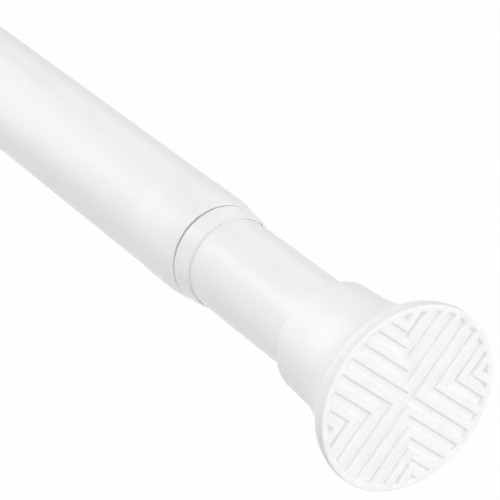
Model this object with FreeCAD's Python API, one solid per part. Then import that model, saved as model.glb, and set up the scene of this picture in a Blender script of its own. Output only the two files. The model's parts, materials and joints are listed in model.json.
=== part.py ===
import FreeCAD, Part
import math
import os

# Spring tension rod for a curtain: two telescoping steel tubes with a rubber-faced bell at each end.
# Turning the inner tube runs its nut along a lead screw, and the screw pushes back on a spring.
# Origin: centre of the far pad's wall face. +X runs along the rod to the near pad, +Z is up.
# Lengths are in millimetres. "From the wall" means from the wall face of the pad at that end.

# Whole rod
rod_length = 426.0           # wall face to wall face, as drawn
turns_in = 2                 # turns of the tube from here to the shortest length
turns_out = 18               # turns of the tube from here to the longest length

# Tubes
outer_tube_radius = 12.7
outer_tube_wall = 0.7
inner_tube_radius = 11.12
inner_tube_wall = 0.7
tube_inset = 8.0             # tube end from the wall
mouth_from_wall = 76.5       # open end of the outer tube from the near wall
mouth_swell = 0.17           # the tube is stretched this much over the collar's tail
swell_run = 5.0              # stretch over which it swells
lip_length = 4.7             # stretch over which the mouth is rolled in
lip_drop = 0.6
lip_round = 0.3

# Clearances
running_gap = 0.05           # round a piece that slides or turns in another
free_gap = 0.3               # between pieces that pass or stop without touching
hand_gap = 0.1               # round a piece pushed in by hand

# Rubber pad
pad_radius = 21.3
pad_thickness = 1.8
pad_round = 0.35
pad_boss_radius = 15.0
pad_boss_depth = 1.6
rim_width = 1.5              # flat ring round the tread
tread_depth = 0.7
tread_bar = 1.85             # width of a raised bar
tread_groove = 1.93          # between bars, and the two that cross at the centre
tread_last_groove = 0.9      # inside the outermost bars
tread_rows = 4               # bars from the centre to the rim

# Bell cap
flange_inset = 0.4           # the flange's edge inside the pad's
flange_back = 3.6            # back of the flange's edge from the wall
flange_draft = 0.15
flare_start = 0.2            # step in front of the flare
flare_sag = 1.2              # hollow of the trumpet curve, at its middle
neck_from_wall = 21.6        # where the flare meets the neck
bell_length = 30.4           # end of the neck from the wall
neck_wall = 2.28
neck_taper = 0.55
neck_round = 0.6

# Cap screw
head_radius = 3.8
head_height = 2.2
shank_radius = 2.0
cap_screw_length = 14.0
cross_width = 1.0
cross_reach = 2.2
cross_depth = 1.4

# End plugs
plug_length = 10.0
plug_chamfer = 0.8
flute_count = 6
flute_radius = 1.4

# Spring and its seat
wire_radius = 0.9
wire_flats = 8               # the wire is drawn with flats in place of a full round
spring_radius = 9.3          # centre of the wire from the rod's axis
spring_turns = 4.5
spring_length = 34.0         # as fitted
spring_travel = 16.0         # how far it can be pushed in
spigot_radius = 8.0
spigot_length = 6.0
washer_thickness = 1.0
washer_radius = 11.4
seat_length = 9.0
seat_waist_depth = 1.2
seat_waist_length = 3.0
pin_radius = 1.25

# Bead rolled into the outer tube, which stops the seat
bead_depth = 1.0
bead_flank = 0.8
bead_flat = 1.4

# Lead screw
thread_lead = 10.0
core_radius = 5.0
crest_radius = 6.6
root_width = 4.2
crest_width = 2.6
shoulder_length = 2.0
thread_gap = 0.32            # between the screw's thread and the nut's
stop_radius = 8.5
stop_thickness = 1.5
stop_screw_radius = 1.6
stop_screw_length = 8.0
stop_head_radius = 3.0
stop_head_height = 2.0

# Nut and its guide ring
park_gap = 2.0               # left between ring and bead at the shortest length
ring_length = 6.0
ring_play = 0.2
ring_split = 4.0
nut_spigot_radius = 9.0
nut_lip_length = 1.5
nut_lip_height = 0.8
nut_flange_length = 2.0
nut_body_length = 14.0

# Mouth collar
collar_tail = 14.0           # length inside the outer tube
seam_gap = 0.3               # slot between the tube's edge and the nose
nose_length = 6.1            # length outside the tube
nose_base_radius = 12.2
nose_round = 0.25
nose_ring_length = 1.4       # from the mouth to the shoulder
nose_shoulder_radius = 12.1
nose_step_length = 2.3       # soft step from the shoulder down to the sleeve
nose_sleeve_radius = 11.47
nose_tip_radius = 11.38

# Sizes worked out from the ones above
outer_bore = outer_tube_radius - outer_tube_wall
inner_bore = inner_tube_radius - inner_tube_wall
tread_radius = pad_radius - rim_width
flange_radius = pad_radius - flange_inset
recess_floor = pad_thickness + pad_boss_depth
mouth = rod_length - mouth_from_wall
spring_start = tube_inset + plug_length
spring_end = spring_start + spring_length
seat_back = spring_end + washer_thickness
seat_front = seat_back + seat_length
bead_start = seat_front - bead_flank / 2 + free_gap
bead_end = bead_start + 2 * bead_flank + bead_flat
ring_start = bead_end + spring_travel + park_gap + turns_in * thread_lead
ring_end = ring_start + ring_length
nut_flange_start = ring_end + ring_play
inner_tube_start = nut_flange_start + nut_flange_length
nut_end = inner_tube_start + nut_body_length
thread_start = seat_front + shoulder_length
screw_end = nut_end + turns_out * thread_lead + free_gap
inner_tube_end = rod_length - tube_inset

os.makedirs("parts", exist_ok=True)
axis_x = FreeCAD.Vector(1, 0, 0)
axis_y = FreeCAD.Vector(0, 1, 0)
axis_z = FreeCAD.Vector(0, 0, 1)
origin = FreeCAD.Vector(0, 0, 0)


# A point of a section, drawn in the upright plane through the rod's axis
def at(x, r):
    return FreeCAD.Vector(x, 0, r)


# A solid of revolution about the rod's axis. A step is the next corner, or a middle and an end of an arc.
def turned(start, *steps):
    here = at(*start)
    edges = []
    for step in steps + (start,):
        if isinstance(step[0], tuple):
            middle, end = at(*step[0]), at(*step[1])
            edges.append(Part.Arc(here, middle, end).toShape())
        else:
            end = at(*step)
            edges.append(Part.makeLine(here, end))
        here = end
    face = Part.Face(Part.Wire(edges))
    return face.revolve(origin, axis_x, 360)


# The middle of a convex quarter round between two corners of a section
def corner_middle(a, b, corner):
    reach = 1 - math.sqrt(0.5)
    middle = [corner[i] + reach * (a[i] + b[i] - 2 * corner[i]) for i in (0, 1)]
    return tuple(middle)


def quarter_round(a, b, corner):
    return corner_middle(a, b, corner), b


# A soft step between two corners of a section, as two arcs that are level at its ends
def soft_step(a, b):
    bend = (1 - math.sqrt(0.5)) / 2
    run, rise = b[0] - a[0], b[1] - a[1]
    middle = (a[0] + run / 2, a[1] + rise / 2)
    return [((a[0] + run / 4, a[1] + bend * rise), middle), ((b[0] - run / 4, b[1] - bend * rise), b)]


def rod(x, length, radius):
    return Part.makeCylinder(radius, length, at(x, 0), axis_x)


def pipe(x, length, radius, bore):
    return rod(x, length, radius).cut(rod(x, length, bore))


# Something built along +Z from the origin is laid along the rod, starting at x
def laid(shape, x):
    shape.rotate(origin, axis_y, 90)
    shape.translate(at(x, 0))
    return shape


# Something built for the far end, turned round to the near end
def at_near_end(shape):
    shape.rotate(at(rod_length / 2, 0), axis_z, 180)
    return shape


def wire_through(points):
    return Part.makePolygon(points + [points[0]])


# A raised V of the tread: two square-cornered arms that open away from the pad's centre
def tread_vee(number):
    square_across = tread_groove / 2 + number * (tread_bar + tread_groove)
    if number == tread_rows - 1:
        square_across += tread_last_groove - tread_groove
    tip = math.sqrt(2) * square_across
    inside = tip + math.sqrt(2) * tread_bar
    reach = tread_radius
    corners = [(tip, 0), (tip + reach, reach), (inside + reach, reach)]
    corners += [(inside, 0), (inside + reach, -reach), (tip + reach, -reach)]
    outline = wire_through([FreeCAD.Vector(0, y, z) for y, z in corners])
    return Part.Face(outline).extrude(at(tread_depth, 0))


def make_pad():
    front = (0, pad_radius - pad_round)
    side = (pad_round, pad_radius)
    boss_end = pad_thickness + pad_boss_depth
    body = turned((0, 0), front, quarter_round(front, side, (0, pad_radius)), (pad_thickness, pad_radius),
                  (pad_thickness, pad_boss_radius), (boss_end - pad_round, pad_boss_radius),
                  (boss_end, pad_boss_radius - pad_round), (boss_end, 0))
    bars = []
    for quarter in range(4):
        for number in range(tread_rows):
            bar = tread_vee(number)
            bar.rotate(origin, axis_x, 90 * quarter)
            bars.append(bar)
    grooves = rod(0, tread_depth, tread_radius).cut(bars)
    return body.cut(grooves)


# The trumpet-shaped cap, turned, with a socket for the tube and a countersunk hole for its screw
def make_bell(tube_radius):
    neck_radius = tube_radius + neck_wall
    flare_front = (flange_back + flare_start, flange_radius - 2 * flange_draft)
    flare_back = (neck_from_wall, neck_radius + neck_taper)
    run, rise = flare_back[0] - flare_front[0], flare_back[1] - flare_front[1]
    chord = math.hypot(run, rise)
    flare_middle = ((flare_front[0] + flare_back[0]) / 2 + flare_sag * rise / chord,
                    (flare_front[1] + flare_back[1]) / 2 - flare_sag * run / chord)
    round_start = (bell_length - neck_round, neck_radius)
    round_end = (bell_length, neck_radius - neck_round)
    recess_radius = pad_boss_radius + hand_gap
    return turned((pad_thickness, recess_radius), (pad_thickness, flange_radius),
                  (flange_back, flange_radius - flange_draft), flare_front, (flare_middle, flare_back),
                  round_start, quarter_round(round_start, round_end, (bell_length, neck_radius)),
                  (bell_length, tube_radius), (tube_inset, tube_radius), (tube_inset, shank_radius),
                  (recess_floor + head_height, shank_radius), (recess_floor, head_radius),
                  (recess_floor, recess_radius))


def cross_recess(x, depth):
    corner = FreeCAD.Vector(x, -cross_reach, -cross_width / 2)
    slot = Part.makeBox(depth, 2 * cross_reach, cross_width, corner)
    other = slot.copy()
    other.rotate(origin, axis_x, 90)
    return slot.fuse(other)


def make_cap_screw():
    tip = recess_floor + cap_screw_length
    body = turned((recess_floor, 0), (recess_floor, head_radius), (recess_floor + head_height, shank_radius),
                  (tip - shank_radius, shank_radius), (tip, shank_radius / 4), (tip, 0))
    return body.cut(cross_recess(recess_floor, cross_depth))


# Grooves down the side of a plug or nut, so that it grips the tube on the ribs between them
def fluted(body, x, length, radius):
    for number in range(flute_count):
        groove = rod(x, length, flute_radius)
        groove.translate(at(0, radius + flute_radius / 3))
        groove.rotate(origin, axis_x, 360 / flute_count * (number + 0.5))
        body = body.cut(groove)
    return body


# The plug pressed into a tube's end, with a hole right through for the cap screw
def make_plug(bore, spigot):
    end = tube_inset + plug_length
    outline = [(tube_inset, bore), (end - plug_chamfer, bore), (end, bore - plug_chamfer)]
    if spigot:
        outline += [(end, spigot_radius), (end + spigot, spigot_radius - plug_chamfer), (end + spigot, 0)]
    else:
        outline += [(end, 0)]
    body = turned((tube_inset, 0), *outline)
    body = body.cut(rod(tube_inset, plug_length + spigot, shank_radius))
    return fluted(body, tube_inset, plug_length, bore)


# The rolled mouth in section, on the tube's outside or its bore: start, middle and end of an arc
def lip_curve(radius, end):
    swollen = radius + mouth_swell
    middle = (mouth - lip_length / 2, swollen - 0.4 * lip_drop)
    return (mouth - lip_length, swollen), middle, (end, swollen - lip_drop)


# The outer tube, with the bead that stops the spring seat and a mouth rolled in over the collar
def make_outer_tube():
    flat_start = bead_start + bead_flank
    flat_end = flat_start + bead_flat
    tail_start = mouth - collar_tail
    lip_start, lip_middle, lip_end = lip_curve(outer_tube_radius, mouth - lip_round)
    bore_start, bore_middle, bore_end = lip_curve(outer_bore, mouth)
    edge = (mouth, lip_end[1] - lip_round)
    return turned((tube_inset, outer_bore), (tube_inset, outer_tube_radius), (bead_start, outer_tube_radius),
                  (flat_start, outer_tube_radius - bead_depth), (flat_end, outer_tube_radius - bead_depth),
                  (bead_end, outer_tube_radius), (tail_start - swell_run, outer_tube_radius),
                  (tail_start, outer_tube_radius + mouth_swell), lip_start, (lip_middle, lip_end),
                  quarter_round(lip_end, edge, (mouth, lip_end[1])), bore_end, (bore_middle, bore_start),
                  (tail_start, outer_bore + mouth_swell), (tail_start - swell_run, outer_bore),
                  (bead_end, outer_bore), (flat_end, outer_bore - bead_depth),
                  (flat_start, outer_bore - bead_depth), (bead_start, outer_bore))


def make_inner_tube():
    return pipe(inner_tube_start, inner_tube_end - inner_tube_start, inner_tube_radius, inner_bore)


# The plastic bush in the mouth: a tail that the tube's lip holds, and outside it a ring that steps down to a
# thin sleeve round the inner tube
def make_mouth_collar():
    bore = inner_tube_radius + running_gap
    tail_start = mouth - collar_tail
    tail_radius = outer_bore + mouth_swell
    lip_start, lip_middle, lip_end = lip_curve(outer_bore, mouth)
    nose_back = mouth + seam_gap
    back_edge = (nose_back, nose_base_radius - nose_round)
    ring_edge = (nose_back + nose_round, nose_base_radius)
    shoulder = (mouth + nose_ring_length, nose_shoulder_radius)
    sleeve = (shoulder[0] + nose_step_length, nose_sleeve_radius)
    nose_end = mouth + nose_length
    return turned((tail_start, bore), (tail_start, tail_radius - hand_gap),
                  (tail_start + plug_chamfer, tail_radius), lip_start, (lip_middle, lip_end),
                  (nose_back, lip_end[1]), back_edge,
                  quarter_round(back_edge, ring_edge, (nose_back, nose_base_radius)), shoulder,
                  *soft_step(shoulder, sleeve), (nose_end, nose_tip_radius), (nose_end, bore))


# A wire spring with both ends ground flat
def make_spring():
    pitch = spring_length / spring_turns
    path = Part.makeHelix(pitch, spring_length + 2 * wire_radius, spring_radius)
    corners = []
    for number in range(wire_flats):
        angle = 2 * math.pi * (number + 0.5) / wire_flats
        across, along = wire_radius * math.cos(angle), wire_radius * math.sin(angle)
        corners.append(FreeCAD.Vector(spring_radius + across, 0, along))
    coil = path.makePipeShell([wire_through(corners)], True, True)
    coil.translate(FreeCAD.Vector(0, 0, -wire_radius))
    between = Part.makeCylinder(2 * spring_radius, spring_length)
    return laid(coil.common(between), spring_start)


def make_spring_washer():
    return pipe(spring_end, washer_thickness, washer_radius, spigot_radius + hand_gap)


# The slider that carries the screw: a waisted piston with a spigot inside the spring
def make_spring_seat():
    radius = outer_bore - running_gap
    waist = radius - seat_waist_depth
    waist_start = seat_back + (seat_length - seat_waist_length) / 2
    waist_end = waist_start + seat_waist_length
    spigot_end = spring_end - spigot_length
    body = turned((spigot_end, core_radius), (spigot_end, spigot_radius - plug_chamfer),
                  (spigot_end + plug_chamfer, spigot_radius), (seat_back, spigot_radius), (seat_back, radius),
                  (waist_start, radius), (waist_start, waist), (waist_end, waist), (waist_end, radius),
                  (seat_front - bead_flank, radius), (seat_front, radius - bead_depth),
                  (seat_front, core_radius))
    return body.cut(pin_rod())


# The cross pin that locks the screw in the seat
def pin_rod():
    reach = outer_bore - running_gap - seat_waist_depth
    middle = seat_back + seat_length / 2
    return Part.makeCylinder(pin_radius, 2 * reach, FreeCAD.Vector(middle, 0, -reach), axis_z)


# A single-start thread with straight flanks, laid along the rod from start to end. Grown by a gap, it
# is also the tool that cuts the nut's thread, in the same turn as the screw's.
def threaded_rod(start, end, gap):
    lead_in = start - thread_start
    depth = crest_radius - core_radius
    root_half = root_width / 2 + gap
    crest_half = crest_width / 2 + gap
    sunk = core_radius / 10
    sunk_half = root_half + sunk * (root_half - crest_half) / depth
    height = end - start
    path = Part.makeHelix(thread_lead, height, core_radius)
    corners = [(core_radius + gap - sunk, -sunk_half), (crest_radius + gap, -crest_half)]
    corners += [(crest_radius + gap, crest_half), (core_radius + gap - sunk, sunk_half)]
    section = wire_through([FreeCAD.Vector(r, 0, z) for r, z in corners])
    ridge = path.makePipeShell([section], True, True)
    core_start = FreeCAD.Vector(0, 0, -root_width)
    ridge = ridge.fuse(Part.makeCylinder(core_radius + gap, height + 2 * root_width, core_start))
    ridge.rotate(origin, axis_z, 360 * lead_in / thread_lead)
    return laid(ridge, start)


def make_lead_screw():
    run = threaded_rod(thread_start + root_width, screw_end - root_width, 0)
    spigot_end = spring_end - spigot_length
    shank = rod(spigot_end, seat_front - spigot_end, core_radius)
    shoulder = rod(seat_front, shoulder_length, crest_radius)
    whole = run.fuse([shank, shoulder]).removeSplitter()
    whole = whole.cut(pin_rod())
    return whole.cut(rod(screw_end - stop_screw_length, stop_screw_length, stop_screw_radius))


# The washer and screw on the screw's end, which stop the nut from running off
def make_stop_washer():
    return pipe(screw_end, stop_thickness, stop_radius, stop_screw_radius)


def make_stop_screw():
    head = screw_end + stop_thickness
    top = head + stop_head_height
    crown = stop_head_height / 4
    body = turned((screw_end - stop_screw_length, 0), (screw_end - stop_screw_length, stop_screw_radius),
                  (head, stop_screw_radius), (head, stop_head_radius), (top - crown, stop_head_radius),
                  (top, stop_head_radius - crown), (top, 0))
    return body.cut(cross_recess(top - cross_depth, cross_depth))


# The nut pressed into the inner tube's end, with a spigot and lip that carry the guide ring
def make_nut():
    lip_start = ring_start - ring_play - nut_lip_length
    lip_radius = nut_spigot_radius + nut_lip_height
    body = turned((lip_start, 0), (lip_start, nut_spigot_radius), (ring_start - ring_play, lip_radius),
                  (ring_start - ring_play, nut_spigot_radius), (nut_flange_start, nut_spigot_radius),
                  (nut_flange_start, inner_tube_radius), (inner_tube_start, inner_tube_radius),
                  (inner_tube_start, inner_bore), (nut_end - plug_chamfer, inner_bore),
                  (nut_end, inner_bore - plug_chamfer), (nut_end, 0))
    body = fluted(body, inner_tube_start, nut_body_length, inner_bore)
    margin = thread_lead / 2
    turns_before = math.floor((lip_start - margin - thread_start) / thread_lead)
    tool_start = thread_start + root_width + turns_before * thread_lead
    return body.cut(threaded_rod(tool_start, nut_end + margin, thread_gap))


# The split ring that centres the inner tube in the outer one
def make_guide_ring():
    ring = pipe(ring_start, ring_length, outer_bore - running_gap, nut_spigot_radius + running_gap)
    slot = Part.makeBox(ring_length, ring_split, outer_bore, FreeCAD.Vector(ring_start, -ring_split / 2, 0))
    return ring.cut(slot)


pieces = {
    "outer_pad": make_pad(),
    "outer_bell": make_bell(outer_tube_radius),
    "outer_cap_screw": make_cap_screw(),
    "outer_end_plug": make_plug(outer_bore, spigot_length),
    "outer_tube": make_outer_tube(),
    "mouth_collar": make_mouth_collar(),
    "compression_spring": make_spring(),
    "spring_washer": make_spring_washer(),
    "spring_seat": make_spring_seat(),
    "seat_pin": pin_rod(),
    "lead_screw": make_lead_screw(),
    "stop_washer": make_stop_washer(),
    "stop_screw": make_stop_screw(),
    "guide_ring": make_guide_ring(),
    "screw_nut": make_nut(),
    "inner_tube": make_inner_tube(),
    "inner_end_plug": at_near_end(make_plug(inner_bore, 0)),
    "inner_bell": at_near_end(make_bell(inner_tube_radius)),
    "inner_cap_screw": at_near_end(make_cap_screw()),
    "inner_pad": at_near_end(make_pad()),
}

for name, shape in pieces.items():
    shape.exportStep("parts/" + name + ".step")
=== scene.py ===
import json
import math

import bmesh
import bpy
from mathutils import Matrix, Vector
from mathutils.geometry import delaunay_2d_cdt


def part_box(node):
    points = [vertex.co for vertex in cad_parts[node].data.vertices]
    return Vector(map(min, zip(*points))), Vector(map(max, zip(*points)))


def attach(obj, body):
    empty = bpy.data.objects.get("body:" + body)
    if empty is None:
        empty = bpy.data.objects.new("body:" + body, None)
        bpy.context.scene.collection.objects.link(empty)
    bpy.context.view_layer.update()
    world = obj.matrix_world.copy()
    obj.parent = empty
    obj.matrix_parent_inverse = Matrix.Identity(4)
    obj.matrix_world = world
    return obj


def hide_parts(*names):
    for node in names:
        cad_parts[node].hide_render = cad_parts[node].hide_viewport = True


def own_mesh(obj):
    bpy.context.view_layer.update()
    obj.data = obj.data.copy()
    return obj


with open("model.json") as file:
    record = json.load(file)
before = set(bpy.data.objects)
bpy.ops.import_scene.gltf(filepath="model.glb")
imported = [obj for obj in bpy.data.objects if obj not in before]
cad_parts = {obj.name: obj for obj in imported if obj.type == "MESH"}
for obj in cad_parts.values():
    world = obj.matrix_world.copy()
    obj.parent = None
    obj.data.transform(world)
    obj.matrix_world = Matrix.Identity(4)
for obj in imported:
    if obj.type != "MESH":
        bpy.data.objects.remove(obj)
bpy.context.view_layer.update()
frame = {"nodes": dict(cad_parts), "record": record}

mm = 0.001
turnSteps = 192  # steps once round a turned piece
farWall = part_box("outer_pad")[0].x  # the two faces that press on the walls
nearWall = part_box("inner_pad")[1].x


# Shader maths is written as arithmetic on these
class Signal:
    def __init__(self, tree, socket=None):
        self.tree = tree
        self.socket = socket

    # Any node: its type, its settings, then what its sockets take
    def add(self, kind, settings=None, inputs=None, output=0):
        node = self.tree.nodes.new("ShaderNode" + kind)
        for name, value in (settings or {}).items():
            if name == "stops":
                ramp = node.color_ramp
                while len(ramp.elements) < len(value):
                    ramp.elements.new(0.5)
                for element, (place, colour) in zip(ramp.elements, value):
                    element.position = place
                    element.color = colour
            else:
                setattr(node, name, value)
        for name, value in (inputs or {}).items():
            if isinstance(value, Signal):
                self.tree.links.new(value.socket, node.inputs[name])
            else:
                node.inputs[name].default_value = value
        return Signal(self.tree, node.outputs[output])

    def maths(self, operation, a, b):
        return self.add("Math", {"operation": operation}, {0: a, 1: b})

    def __add__(self, other):
        return self.maths("ADD", self, other)

    def __radd__(self, other):
        return self.maths("ADD", other, self)

    def __sub__(self, other):
        return self.maths("SUBTRACT", self, other)

    def __rsub__(self, other):
        return self.maths("SUBTRACT", other, self)

    def __mul__(self, other):
        return self.maths("MULTIPLY", self, other)

    def __rmul__(self, other):
        return self.maths("MULTIPLY", other, self)

    # Colours
    def mixed(self, a, b):
        return self.add("Mix", {"data_type": "RGBA"}, {0: self, 6: a, 7: b}, 2)

    # Places on the object, stretched by a factor for each axis
    def stretched(self, factors):
        return self.add("VectorMath", {"operation": "MULTIPLY"}, {0: self, 1: factors})

    def noise(self, scale, detail=2.0, roughness=0.5):
        inputs = {"Vector": self, "Scale": scale, "Detail": detail, "Roughness": roughness}
        return self.add("TexNoise", {"noise_dimensions": "3D"}, inputs)

    # Noise about zero that swings over a width
    def swung(self, width):
        return (self - 0.5) * width

    # 0 below low, 1 above high, smooth between
    def stepped(self, low, high):
        settings = {"interpolation_type": "SMOOTHSTEP"}
        return self.add("MapRange", settings, {"Value": self, "From Min": low, "From Max": high})


def grey(level, warmth=0.0):
    return (level + warmth, level, level - warmth, 1.0)


# A material with its shader; the constants go on the shader's own sockets
def newFinish(name, constants):
    material = bpy.data.materials.new(name)
    material.use_nodes = True
    tree = material.node_tree
    tree.nodes.clear()
    output = tree.nodes.new("ShaderNodeOutputMaterial")
    shader = tree.nodes.new("ShaderNodeBsdfPrincipled")
    for socket, value in constants.items():
        shader.inputs[socket].default_value = value
    tree.links.new(shader.outputs[0], output.inputs[0])
    return material, tree, shader


def feed(tree, shader, **signals):
    for socket, signal in signals.items():
        tree.links.new(signal.socket, shader.inputs[socket.replace("_", " ")])


# A Bump node from a height in metres
def bumped(height):
    return height.add("Bump", None, {"Height": height, "Strength": 1.0, "Distance": 1.0})


def onObject(tree):
    return Signal(tree).add("TexCoord", None, None, 3)


# The finishes give each noise by scale, detail and roughness, its stretch along the axes, its step from low to
# high, and the roughness and height that it adds
enamel = {
    "colour": grey(0.905),
    "shade": grey(0.885, 0.002),
    "gloss": 0.29,
    "peel": (420.0, 2.0),
    "peelHeight": 0.0025 * mm,
    "drawStretch": (6.0, 900.0, 900.0),
    "draw": (1.0, 3.0, 0.6),
    "drawRough": 0.04,
    "drawHeight": 0.0012 * mm,
    "cloud": (35.0, 3.0),
    "cloudStep": (0.35, 0.7),
    "cloudRough": 0.05,
}


# Baked enamel on a drawn tube: a faint orange peel, and long draw lines under it
def enamelFinish():
    material, tree, shader = newFinish("enamel", {"IOR": 1.5})
    place = onObject(tree)
    peel = place.noise(*enamel["peel"])
    draw = place.stretched(enamel["drawStretch"]).noise(*enamel["draw"])
    cloud = place.noise(*enamel["cloud"])
    colour = cloud.stepped(*enamel["cloudStep"]).mixed(enamel["colour"], enamel["shade"])
    rough = enamel["gloss"] + cloud.swung(enamel["cloudRough"]) + draw.swung(enamel["drawRough"])
    height = peel * enamel["peelHeight"] + draw * enamel["drawHeight"]
    feed(tree, shader, Base_Color=colour, Roughness=rough, Normal=bumped(height))
    return material


capPlastic = {
    "colour": grey(0.905),
    "shade": grey(0.89, 0.001),
    "bellGloss": 0.38,
    "collarGloss": 0.22,
    "grain": (2600.0, 1.0),
    "grainRough": 0.08,
    "grainHeight": 0.0025 * mm,
    "flowStretch": (60.0, 140.0, 140.0),
    "flow": (1.0, 2.0),
    "flowStep": (0.3, 0.75),
    "flowHeight": 0.003 * mm,
    # dark grey of the painted shade in the collar's slot and at its tip
    "paintedShade": grey(0.25, 0.008),
    "paintedShadeFlow": 0.3,  # share of the painted shade that comes and goes with the flow
}


# Moulded plastic with a spark-etched grain and slow flow ripples, and painted shade that darkens the colour in
# the given stretches of X
def capFinish(name, gloss, paintedShadeBands=()):
    material, tree, shader = newFinish(name, {"IOR": 1.49})
    place = onObject(tree)
    grain = place.noise(*capPlastic["grain"])
    flow = place.stretched(capPlastic["flowStretch"]).noise(*capPlastic["flow"])
    colour = flow.stepped(*capPlastic["flowStep"]).mixed(capPlastic["colour"], capPlastic["shade"])
    along = place.add("SeparateXYZ", None, {"Vector": place}, 0)
    # Each stretch mixes the colour towards the dark grey: painted shade, made patchy by the flow noise
    for back, front, soft, weight in paintedShadeBands:
        within = along.stepped(back, back + soft) * (1 - along.stepped(front - soft, front))
        patchy = (1 - capPlastic["paintedShadeFlow"]) + flow * capPlastic["paintedShadeFlow"]
        colour = (within * (weight * patchy)).mixed(colour, capPlastic["paintedShade"])
    rough = gloss + grain.swung(capPlastic["grainRough"])
    height = grain * capPlastic["grainHeight"] + flow * capPlastic["flowHeight"]
    feed(tree, shader, Base_Color=colour, Roughness=rough, Normal=bumped(height))
    return material


rubber = {
    "colour": grey(0.9, 0.002),
    "shade": grey(0.872, 0.004),
    "gloss": 0.8,
    "mottle": (260.0, 4.0, 0.6),
    "mottleStep": (0.3, 0.72),
    "mottleRough": 0.16,
    "skin": (3200.0, 2.0, 0.6),
    "skinHeight": 0.002 * mm,
    "pores": (1500.0, 1.0),
    "poresStep": (0.62, 0.75),
    "poresRough": 0.06,
    "poresDepth": 0.0016 * mm,
}


# Soft white rubber: matt, slightly mottled, with a skin that is a little rough to the touch
def rubberFinish():
    material, tree, shader = newFinish("rubber", {"IOR": 1.46, "Specular IOR Level": 0.15})
    place = onObject(tree)
    mottle = place.noise(*rubber["mottle"])
    skin = place.noise(*rubber["skin"])
    pores = place.noise(*rubber["pores"]).stepped(*rubber["poresStep"])
    colour = mottle.stepped(*rubber["mottleStep"]).mixed(rubber["colour"], rubber["shade"])
    rough = rubber["gloss"] + mottle.swung(rubber["mottleRough"]) + pores * rubber["poresRough"]
    height = skin * rubber["skinHeight"] - pores * rubber["poresDepth"]
    feed(tree, shader, Base_Color=colour, Roughness=rough, Normal=bumped(height))
    return material


zinc = {
    "bright": grey(0.74, -0.004),
    "dull": grey(0.6, -0.006),
    "gloss": 0.3,
    "spangle": (900.0, 2.0),
    "spangleStep": (0.35, 0.7),
    "spangleRough": 0.2,
    "scratchStretch": (2500.0, 400.0, 400.0),
    "scratch": (1.0, 3.0, 0.7),
    "scratchRough": 0.1,
    "scratchHeight": 0.002 * mm,
}


# Zinc-plated steel with a spangle of dull and bright patches
def zincFinish():
    material, tree, shader = newFinish("zinc", {"Metallic": 1.0})
    place = onObject(tree)
    spangle = place.noise(*zinc["spangle"])
    scratch = place.stretched(zinc["scratchStretch"]).noise(*zinc["scratch"])
    colour = spangle.stepped(*zinc["spangleStep"]).mixed(zinc["bright"], zinc["dull"])
    rough = zinc["gloss"] + spangle.swung(zinc["spangleRough"]) + scratch.swung(zinc["scratchRough"])
    feed(tree, shader, Base_Color=colour, Roughness=rough, Normal=bumped(scratch * zinc["scratchHeight"]))
    return material


acetal = {
    "colour": grey(0.028),
    "shade": grey(0.04, 0.001),
    "gloss": 0.33,
    "bloom": (240.0, 4.0, 0.65),
    "bloomStep": (0.4, 0.75),
    "bloomRough": 0.3,
    "grain": (2400.0, 2.0),
    "grainHeight": 0.003 * mm,
}


# Black moulded acetal with a greasy bloom
def acetalFinish():
    material, tree, shader = newFinish("acetal", {"IOR": 1.48})
    place = onObject(tree)
    bloom = place.noise(*acetal["bloom"])
    grain = place.noise(*acetal["grain"])
    colour = bloom.stepped(*acetal["bloomStep"]).mixed(acetal["colour"], acetal["shade"])
    rough = acetal["gloss"] + bloom.swung(acetal["bloomRough"])
    feed(tree, shader, Base_Color=colour, Roughness=rough, Normal=bumped(grain * acetal["grainHeight"]))
    return material


wire = {
    "colour": grey(0.33, -0.006),
    "burnt": (0.2, 0.17, 0.15, 1.0),
    "gloss": 0.36,
    "temper": (190.0, 4.0, 0.6),
    "temperStep": (0.45, 0.75),
    "temperRough": 0.2,
    "drawStretch": (1800.0, 500.0, 500.0),
    "draw": (1.0, 3.0, 0.7),
    "drawRough": 0.12,
    "drawHeight": 0.003 * mm,
}


# Oil-tempered spring wire, drawn lengthwise, with brown temper in patches
def wireFinish():
    material, tree, shader = newFinish("springWire", {"Metallic": 1.0})
    place = onObject(tree)
    temper = place.noise(*wire["temper"])
    draw = place.stretched(wire["drawStretch"]).noise(*wire["draw"])
    colour = temper.stepped(*wire["temperStep"]).mixed(wire["colour"], wire["burnt"])
    rough = wire["gloss"] + temper.swung(wire["temperRough"]) + draw.swung(wire["drawRough"])
    feed(tree, shader, Base_Color=colour, Roughness=rough, Normal=bumped(draw * wire["drawHeight"]))
    return material


nylon = {
    "colour": (0.8, 0.785, 0.73, 1.0),
    "shade": (0.74, 0.72, 0.65, 1.0),
    "gloss": 0.45,
    "cloud": (150.0, 3.0),
    "cloudStep": (0.35, 0.7),
    "grain": (2200.0, 2.0),
    "grainRough": 0.14,
    "grainHeight": 0.004 * mm,
}


# Natural nylon, waxy and faintly cloudy
def nylonFinish():
    material, tree, shader = newFinish("nylon", {"IOR": 1.53})
    place = onObject(tree)
    cloud = place.noise(*nylon["cloud"])
    grain = place.noise(*nylon["grain"])
    colour = cloud.stepped(*nylon["cloudStep"]).mixed(nylon["colour"], nylon["shade"])
    rough = nylon["gloss"] + grain.swung(nylon["grainRough"])
    feed(tree, shader, Base_Color=colour, Roughness=rough, Normal=bumped(grain * nylon["grainHeight"]))
    return material


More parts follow.
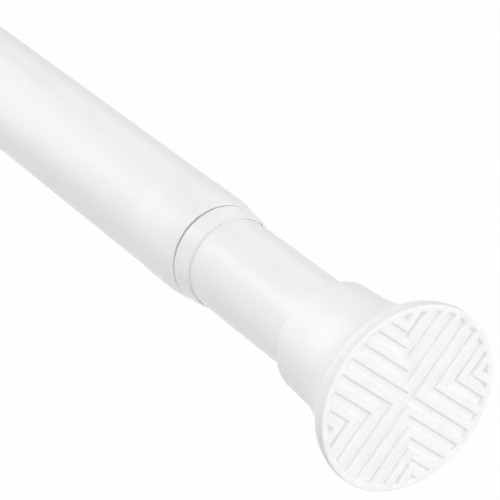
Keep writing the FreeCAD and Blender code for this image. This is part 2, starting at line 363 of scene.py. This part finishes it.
collar = {
    "tail": 14.0 * mm,  # inside the outer tube
    "swollenBore": 12.17 * mm,
    "lead": 0.8 * mm,  # bevel at the tail's end
    "leadDrop": 0.1 * mm,
    "lip": 4.7 * mm,  # stretch of tube rolled in over the tail
    "lipDrop": 0.6 * mm,
    "lipHalfway": 0.4,  # share of the drop that is reached halfway
    "slot": 0.75 * mm,  # open between the lip and the ring
    "slotLean": 0.1 * mm,
    "slotRadius": 11.35 * mm,
    "ringRadius": 12.12 * mm,
    "ringRound": 0.16 * mm,
    "shoulder": 1.6 * mm,  # from the mouth
    "shoulderRadius": 12.07 * mm,
    "taperSteps": 16,
    "taperPower": 1.3,
    "tipRadius": 11.42 * mm,
    "tipRound": 0.1 * mm,
    "tubeGap": 0.05 * mm,
    # painted shade: the collar's colour darkens across the slot between the tube's lip and the ring
    "slotPaintedShade": {"behind": 0.1 * mm, "ahead": 0.05 * mm, "soft": 0.1 * mm, "weight": 1.0},
    # painted shade: a faint darkening of the colour at the step where the ring's tip meets the inner tube
    "tipPaintedShade": {"behind": 0.9 * mm, "ahead": 0.9 * mm, "soft": 0.8 * mm, "weight": 0.08},
}


# Where painted shade lies along X: from behind a place to ahead of another
def paintedShadeStretch(back, front, plan):
    return back - plan["behind"], front + plan["ahead"], plan["soft"], plan["weight"]


collarBack, collarFront = (corner.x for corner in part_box("mouth_collar"))
mouthPlace = collarBack + collar["tail"]
# Painted shade on the collar: darker colour in the slot ahead of the lip and at the ring's tip
paintedShadeBands = (
    paintedShadeStretch(mouthPlace, mouthPlace + collar["slot"], collar["slotPaintedShade"]),
    paintedShadeStretch(collarFront, collarFront, collar["tipPaintedShade"]),
)
finishes = {
    "tube_enamel": enamelFinish(),
    "cap_plastic": capFinish("capPlastic", capPlastic["bellGloss"]),
    "collar_plastic": capFinish("collarPlastic", capPlastic["collarGloss"], paintedShadeBands),
    "pad_rubber": rubberFinish(),
    "zinc_steel": zincFinish(),
    "screw_acetal": acetalFinish(),
    "spring_steel": wireFinish(),
    "inner_nylon": nylonFinish(),
}
print("finishes made:", len(finishes))


# The CAD pieces that stay as they are take the finish of their slot
for part in frame["record"]["subparts"]:
    node = frame["nodes"][part["node"]]
    node.data.materials.clear()
    node.data.materials.append(finishes[part["material_slot"]])
print("finishes put on the tubes, screws and inner pieces")


def newPiece(name, mesh, body, slotName, nodeName):
    mesh.materials.append(finishes[slotName])
    for polygon in mesh.polygons:
        polygon.use_smooth = True
    piece = bpy.data.objects.new(name, mesh)
    bpy.context.scene.collection.objects.link(piece)
    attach(piece, body)
    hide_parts(nodeName)
    return piece


crispFrom = math.radians(32.0)


# Sharper edges than that stay crisp under smooth shading
def crisp(mesh):
    mesh.set_sharp_from_angle(angle=crispFrom)


# A profile of (x, radius) points, each with a round at its corner, as a list of plain points
def softCorners(corners, steps=5):
    points = []
    for number, (x, r, fillet) in enumerate(corners):
        here = Vector((x, r))
        before = Vector(corners[number - 1][:2]) if number else None
        after = Vector(corners[number + 1][:2]) if number + 1 < len(corners) else None
        if not fillet or before is None or after is None:
            points.append(here)
            continue
        toBefore = (before - here).normalized()
        toAfter = (after - here).normalized()
        half = toBefore.angle(toAfter) / 2
        reach = fillet / math.tan(half)
        centre = here + (toBefore + toAfter).normalized() * (fillet / math.sin(half))
        first = here + toBefore * reach - centre
        last = here + toAfter * reach - centre
        swing = first.angle(last)
        for step in range(steps + 1):
            share = step / steps
            arm = (first * math.sin((1 - share) * swing) + last * math.sin(share * swing)) / math.sin(swing)
            points.append(centre + arm)
    return points


# Rings of vertices round the rod's axis; a profile starts at the wall and goes its way, +1 or -1 along X
def turnRings(shape, points, wall, way):
    rings = []
    for point in points:
        ring = []
        for step in range(turnSteps):
            angle = 2 * math.pi * step / turnSteps
            place = (wall + way * point[0], point[1] * math.cos(angle), point[1] * math.sin(angle))
            ring.append(shape.verts.new(place))
        rings.append(ring)
    return rings


def joinRings(shape, rings):
    for inner, outer in zip(rings, rings[1:]):
        for step in range(turnSteps):
            nextStep = (step + 1) % turnSteps
            shape.faces.new((inner[step], inner[nextStep], outer[nextStep], outer[step]))


def meshFrom(shape, name):
    bmesh.ops.recalc_face_normals(shape, faces=shape.faces)
    mesh = bpy.data.meshes.new(name)
    shape.to_mesh(mesh)
    shape.free()
    return mesh


pad = {
    "rim": 1.5 * mm,  # flat ring round the tread
    "depth": 0.7 * mm,
    "bar": 1.85 * mm,
    "groove": 1.93 * mm,  # also the cross of two grooves through the middle
    "lastGroove": 0.9 * mm,  # inside the outermost bars
    "rows": 4,
    "edge": 0.32 * mm,  # over this a bar's edge rounds off
    "cell": 0.29 * mm,  # finest mesh on the tread
    "weld": 0.00001,  # places nearer than this, in millimetres, are one
    "round": 0.35 * mm,
    "backRound": 0.12 * mm,
    "thickness": 1.8 * mm,
    "bossRadius": 15.0 * mm,
}
barStarts = [pad["groove"] / 2 + row * (pad["bar"] + pad["groove"]) for row in range(pad["rows"])]
barStarts[-1] += pad["lastGroove"] - pad["groove"]


def eased(share):
    share = min(1.0, max(0.0, share))
    return share * share * (3 - 2 * share)


# How far the tread lies behind the face at a place across the bars
def treadDrop(u, v, treadRadius):
    across = min(abs(u), abs(v))
    raised = eased((math.hypot(u, v) - treadRadius) / pad["edge"] + 0.5)
    for start in barStarts:
        inside = min(across - start, start + pad["bar"] - across)
        raised = max(raised, eased(inside / pad["edge"] + 0.5))
    return pad["depth"] * (1 - raised)


edgeShares = (-0.5, -0.25, 0.0, 0.25, 0.5)


# Mesh lines across the tread: close together over each bar's edges, even between them
def treadLines(reach):
    marks = {0.0, reach}
    for start in barStarts:
        for edge in (start, start + pad["bar"]):
            marks.update(edge + share * pad["edge"] for share in edgeShares)
    lines = []
    marks = sorted(marks)
    for low, high in zip(marks, marks[1:]):
        pieces = max(1, math.ceil((high - low) / pad["cell"] - 0.01))
        lines += [low + (high - low) * piece / pieces for piece in range(pieces)]
    return [-line for line in reversed(lines[1:])] + lines


# Places over the face: the lines' crossings, and rings over the rim's inner edge with every line's end
def treadPlaces(treadRadius):
    lines = treadLines(treadRadius)
    reach = treadRadius - pad["edge"] / 2 - pad["cell"] / 2
    places = [(u, v) for u in lines for v in lines if math.hypot(u, v) < reach]
    for share in edgeShares:
        radius = treadRadius + share * pad["edge"]
        angles = []
        for line in lines:
            if abs(line) < radius:
                first = math.acos(line / radius)
                second = math.asin(line / radius)
                angles += [first, -first, second, math.pi - second]
        angles = sorted(angle % (2 * math.pi) for angle in angles)
        last = angles[-1] - 2 * math.pi
        for angle in angles:
            if (angle - last) * radius > pad["edge"] / 8:
                places.append((radius * math.cos(angle), radius * math.sin(angle)))
                last = angle
    return places


# The ribbed rubber pad: a tread of four fans of bars inside a rim, with the boss that sits in the bell
def makePad(name, node, body, wall, way):
    low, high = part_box(node)
    radius = high.z
    depth = high.x - low.x
    treadRadius = radius - pad["rim"]
    corners = [
        (0.0, radius - pad["rim"] / 2, 0.0),
        (0.0, radius, pad["round"]),
        (pad["thickness"], radius, pad["backRound"]),
        (pad["thickness"], pad["bossRadius"], 0.0),
        (depth, pad["bossRadius"], pad["round"]),
        (depth, pad["bossRadius"] / 2, 0.0),
    ]
    shape = bmesh.new()
    rings = turnRings(shape, softCorners(corners), wall, way)
    joinRings(shape, rings)
    shape.faces.new(rings[-1])
    turn = math.sqrt(0.5)
    places = treadPlaces(treadRadius)
    outside = [((vert.co.y + vert.co.z) * turn, (vert.co.z - vert.co.y) * turn) for vert in rings[0]]
    flat = [Vector(place) / mm for place in places + outside]
    found = delaunay_2d_cdt(flat, [], [], 0, pad["weld"], True)
    made = []
    for place, sources in zip(found[0], found[3]):
        if sources[0] >= len(places):
            made.append(rings[0][sources[0] - len(places)])
            continue
        u, v = place * mm
        x = wall + way * treadDrop(u, v, treadRadius)
        made.append(shape.verts.new((x, (u - v) * turn, (u + v) * turn)))
    for face in found[2]:
        shape.faces.new([made[number] for number in face])
    newPiece(name, meshFrom(shape, name), body, "pad_rubber", node)


makePad("near_pad", "inner_pad", "inner_tube", nearWall, -1)
makePad("far_pad", "outer_pad", "outer_tube", farWall, 1)
print("pads made")


bell = {
    "innerTubeRadius": 11.12 * mm,
    "outerTubeRadius": 12.7 * mm,
    "tubeGap": 0.02 * mm,
    "bossGap": 0.1 * mm,
    "recessRound": 0.2 * mm,
    "flangeInset": 0.4 * mm,  # its edge stands in from the pad's
    "flangeBack": 3.6 * mm,
    "draft": 0.15 * mm,
    "flareStart": 0.2 * mm,
    "sag": 1.2 * mm,
    "flareSteps": 28,
    "neckStart": 21.6 * mm,
    "taper": 0.55 * mm,
    "neckWall": 2.28 * mm,
    "edgeRound": 0.25 * mm,
    "neckRound": 0.6 * mm,
    "mouthRound": 0.15 * mm,
    "inset": 8.0 * mm,  # the tube's end from the wall
    "headRadius": 3.8 * mm,
    "headHeight": 2.2 * mm,
    "shankRadius": 2.0 * mm,
}


# Points on the arc through three places
def arcThrough(first, middle, last, steps):
    ax, ay = middle - first
    bx, by = last - first
    twice = 2 * (ax * by - ay * bx)
    a, b = ax * ax + ay * ay, bx * bx + by * by
    centre = first + Vector(((by * a - ay * b) / twice, (ax * b - bx * a) / twice))
    arm, lastArm = first - centre, last - centre
    swing = arm.angle_signed(lastArm)
    points = []
    for step in range(steps + 1):
        turned = arm.copy()
        turned.rotate(Matrix.Rotation(-swing * step / steps, 2))
        points.append(centre + turned)
    return points


# The trumpet cap: a thin flange behind the pad, a hollow flare and a plain neck round the tube
def makeBell(name, node, padNode, tubeRadius, body, wall, way):
    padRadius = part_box(padNode)[1].z
    low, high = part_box(node)
    end = pad["thickness"] + high.x - low.x
    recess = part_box(padNode)[1].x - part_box(padNode)[0].x
    flange = padRadius - bell["flangeInset"]
    neck = tubeRadius + bell["neckWall"]
    first = Vector((bell["flangeBack"] + bell["flareStart"], flange - 2 * bell["draft"]))
    last = Vector((bell["neckStart"], neck + bell["taper"]))
    chord = last - first
    middle = (first + last) / 2 + Vector((chord.y, -chord.x)).normalized() * bell["sag"]
    recessRadius = pad["bossRadius"] + bell["bossGap"]
    bore = tubeRadius + bell["tubeGap"]
    corners = [
        (recess, bell["shankRadius"] * 2, 0.0),
        (recess, recessRadius, bell["recessRound"]),
        (pad["thickness"], recessRadius, bell["recessRound"]),
        (pad["thickness"], flange, bell["edgeRound"]),
        (bell["flangeBack"], flange - bell["draft"], bell["edgeRound"]),
    ]
    tail = [
        (end, neck, bell["neckRound"]),
        (end, bore, bell["mouthRound"]),
        (bell["inset"], bore, 0.0),
        (bell["inset"], bell["shankRadius"], 0.0),
        (recess + bell["headHeight"], bell["shankRadius"], 0.0),
        (recess, bell["headRadius"], 0.0),
    ]
    flare = [(point.x, point.y, 0.0) for point in arcThrough(first, middle, last, bell["flareSteps"])]
    shape = bmesh.new()
    points = softCorners(corners + flare + tail)
    rings = turnRings(shape, points, wall, way)
    joinRings(shape, rings + rings[:1])
    mesh = meshFrom(shape, name)
    crisp(mesh)
    newPiece(name, mesh, body, "cap_plastic", node)


makeBell("near_bell", "inner_bell", "inner_pad", bell["innerTubeRadius"], "inner_tube", nearWall, -1)
makeBell("far_bell", "outer_bell", "outer_pad", bell["outerTubeRadius"], "outer_tube", farWall, 1)
print("bells made")


# The bush in the outer tube's mouth: a tail in the tube, a slot ahead of the lip, and a narrowing ring
def makeCollar():
    tip = nearWall - collarFront
    mouth = nearWall - mouthPlace
    tail = mouth + collar["tail"]
    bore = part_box("inner_tube")[1].z + collar["tubeGap"]
    slotFront = mouth - collar["slot"]
    swollen = collar["swollenBore"]
    corners = [
        (tail, bore, 0.0),
        (tail, swollen - collar["leadDrop"], 0.0),
        (tail - collar["lead"], swollen, 0.0),
        (mouth + collar["lip"], swollen, 0.0),
        (mouth + collar["lip"] / 2, swollen - collar["lipHalfway"] * collar["lipDrop"], 0.0),
        (mouth, swollen - collar["lipDrop"], 0.0),
        (mouth - collar["slotLean"], collar["slotRadius"], 0.0),
        (slotFront, collar["slotRadius"], 0.0),
        (slotFront, collar["ringRadius"], collar["ringRound"]),
    ]
    shoulder = mouth - collar["shoulder"]
    fall = collar["shoulderRadius"] - collar["tipRadius"]
    for step in range(collar["taperSteps"] - 1):
        share = step / collar["taperSteps"]
        radius = collar["shoulderRadius"] - fall * share ** collar["taperPower"]
        corners.append((shoulder + (tip - shoulder) * share, radius, 0.0))
    corners += [(tip, collar["tipRadius"], collar["tipRound"]), (tip, bore, 0.0)]
    shape = bmesh.new()
    rings = turnRings(shape, softCorners(corners), nearWall, -1)
    joinRings(shape, rings + rings[:1])
    mesh = meshFrom(shape, "collar")
    crisp(mesh)
    newPiece("collar", mesh, "outer_tube", "collar_plastic", "mouth_collar")


makeCollar()
print("collar made")


spring = {
    "wire": 0.9 * mm,  # radius
    "turns": 4.5,
    "stepsPerTurn": 64,
    "stepsRoundWire": 16,
    "travel": 16.0 * mm,
}


# The round-wire spring, its two ends ground flat on the plug and the washer
def makeSpring():
    low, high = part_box("compression_spring")
    coilRadius = high.z - spring["wire"]
    steps = int(spring["turns"] * spring["stepsPerTurn"])
    start, length = low.x, high.x - low.x
    lean = math.atan2(length / spring["turns"], 2 * math.pi * coilRadius)
    shape = bmesh.new()
    rings = []
    for step in range(steps + 1):
        angle = 2 * math.pi * spring["turns"] * step / steps
        out = Vector((0, math.cos(angle), math.sin(angle)))
        along = Vector((0, -math.sin(angle), math.cos(angle)))
        across = Vector((math.cos(lean), 0, 0)) - along * math.sin(lean)
        middle = out * coilRadius + Vector((start + length * step / steps, 0, 0))
        ring = []
        for side in range(spring["stepsRoundWire"]):
            turn = 2 * math.pi * side / spring["stepsRoundWire"]
            place = middle + (out * math.cos(turn) + across * math.sin(turn)) * spring["wire"]
            place.x = min(max(place.x, start), start + length)
            ring.append(shape.verts.new(place))
        rings.append(ring)
    for ring, following in zip(rings, rings[1:]):
        for side in range(len(ring)):
            beside = (side + 1) % len(ring)
            shape.faces.new((ring[side], ring[beside], following[beside], following[side]))
    shape.faces.new(rings[0])
    shape.faces.new(rings[-1])
    mesh = meshFrom(shape, "push_spring")
    piece = newPiece("push_spring", mesh, "outer_tube", "spring_steel", "compression_spring")
    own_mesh(piece)


makeSpring()
print("spring made")


# Rays that see the floor and the sky as white, so that neither tints the picture or a reflection
def whiteRays(signal):
    seen = signal.add("LightPath", None, None, "Is Camera Ray")
    shine = signal.add("LightPath", None, None, "Is Glossy Ray")
    through = signal.add("LightPath", None, None, "Is Transmission Ray")
    return seen + shine + through


floorPlan = {
    "drop": 0.3,
    "size": 6.0,
    "colour": grey(0.93),
    "fleck": grey(0.92),
    "flecks": (40.0, 2.0),
    "fleckStep": (0.3, 0.7),
    "shadowShare": 0.03,
}


# A pale floor under the rod, which the camera sees as white but for the rod's shadow
def makeFloor():
    material = bpy.data.materials.new("floor")
    material.use_nodes = True
    tree = material.node_tree
    tree.nodes.clear()
    signal = Signal(tree)
    flecks = onObject(tree).noise(*floorPlan["flecks"]).stepped(*floorPlan["fleckStep"])
    colour = flecks.mixed(floorPlan["colour"], floorPlan["fleck"])
    matt = signal.add("BsdfDiffuse", None, {"Color": colour})
    white = signal.add("Emission", None, {"Color": grey(1.0), "Strength": 1.0})
    share = whiteRays(signal) * (1 - floorPlan["shadowShare"])
    mixed = signal.add("MixShader", None, {0: share, 1: matt, 2: white})
    output = tree.nodes.new("ShaderNodeOutputMaterial")
    tree.links.new(mixed.socket, output.inputs[0])
    half = floorPlan["size"] / 2
    middle = (farWall + nearWall) / 2
    square = ((-1, -1), (1, -1), (1, 1), (-1, 1))
    corners = [(middle + x * half, y * half, -floorPlan["drop"]) for x, y in square]
    mesh = bpy.data.meshes.new("floor")
    mesh.from_pydata(corners, [], [(0, 1, 2, 3)])
    mesh.materials.append(material)
    floor = bpy.data.objects.new("floor", mesh)
    bpy.context.scene.collection.objects.link(floor)


def makeSky():
    world = bpy.data.worlds.new("studio")
    bpy.context.scene.world = world
    world.use_nodes = True
    tree = world.node_tree
    tree.nodes.clear()
    signal = Signal(tree)
    light = signal.add("Background", None, {"Color": grey(1.0), "Strength": studio["sky"]})
    white = signal.add("Background", None, {"Color": grey(1.0), "Strength": 1.0})
    mixed = signal.add("MixShader", None, {0: whiteRays(signal), 1: light, 2: white})
    output = tree.nodes.new("ShaderNodeOutputWorld")
    tree.links.new(mixed.socket, output.inputs[0])


studio = {
    "sky": 0.24,
    "aim": (nearWall - 0.05, 0.0, 0.0),
    "lamps": {
        "left": {"place": (0.55, -0.931, 0.319), "size": 0.5, "power": 1.1},
        "overhead": {"place": (0.55, -0.19, 0.966), "size": 0.5, "power": 3.9},
        "aboveCamera": {"place": (1.083, -0.465, 0.533), "size": 0.5, "power": 2.6},
        "right": {"place": (1.083, 0.693, 0.136), "size": 0.5, "power": 2.9},
        "beyondPad": {"place": (1.316, 0.335, 0.066), "size": 0.5, "power": 1.55},
        "farLeft": {"place": (-0.564, -0.323, 0.111), "size": 0.5, "power": 1.2},
        "farTop": {"place": (-0.564, -0.066, 0.335), "size": 0.5, "power": 1.0},
        "farRight": {"place": (-0.367, 0.504, 0.44), "size": 0.5, "power": 0.4},
        "glint": {"place": (-0.367, -0.44, 0.504), "size": 0.25, "power": 0.33},
        "highGlint": {"place": (-0.07, -0.35, 0.524), "size": 0.2, "power": 0.18},
    },
}


def makeLamps():
    aim = Vector(studio["aim"])
    for name, plan in studio["lamps"].items():
        lamp = bpy.data.lights.new(name, "AREA")
        lamp.size = plan["size"]
        lamp.energy = plan["power"]
        holder = bpy.data.objects.new(name, lamp)
        holder.location = plan["place"]
        holder.rotation_euler = (aim - holder.location).to_track_quat("-Z", "Y").to_euler()
        bpy.context.scene.collection.objects.link(holder)


# The camera looks down the rod from beyond the near pad, as the photographer did
view = {
    "fromWall": 375.83 * mm,
    "side": -251.29 * mm,
    "height": 287.87 * mm,
    "turn": (60.9053, 2.9274, 58.5192),
    "lens": 187.2,
    "sensor": 36.0,
    "near": 0.01,
    "far": 20.0,
}


def makeCamera():
    camera = bpy.data.cameras.new("camera")
    camera.lens = view["lens"]
    camera.sensor_width = view["sensor"]
    camera.clip_start = view["near"]
    camera.clip_end = view["far"]
    holder = bpy.data.objects.new("camera", camera)
    holder.location = (nearWall + view["fromWall"], view["side"], view["height"])
    holder.rotation_euler = [math.radians(angle) for angle in view["turn"]]
    bpy.context.scene.collection.objects.link(holder)
    bpy.context.scene.camera = holder


makeFloor()
makeSky()
makeLamps()
makeCamera()
bpy.context.scene.view_settings.view_transform = "Standard"
print("studio made")
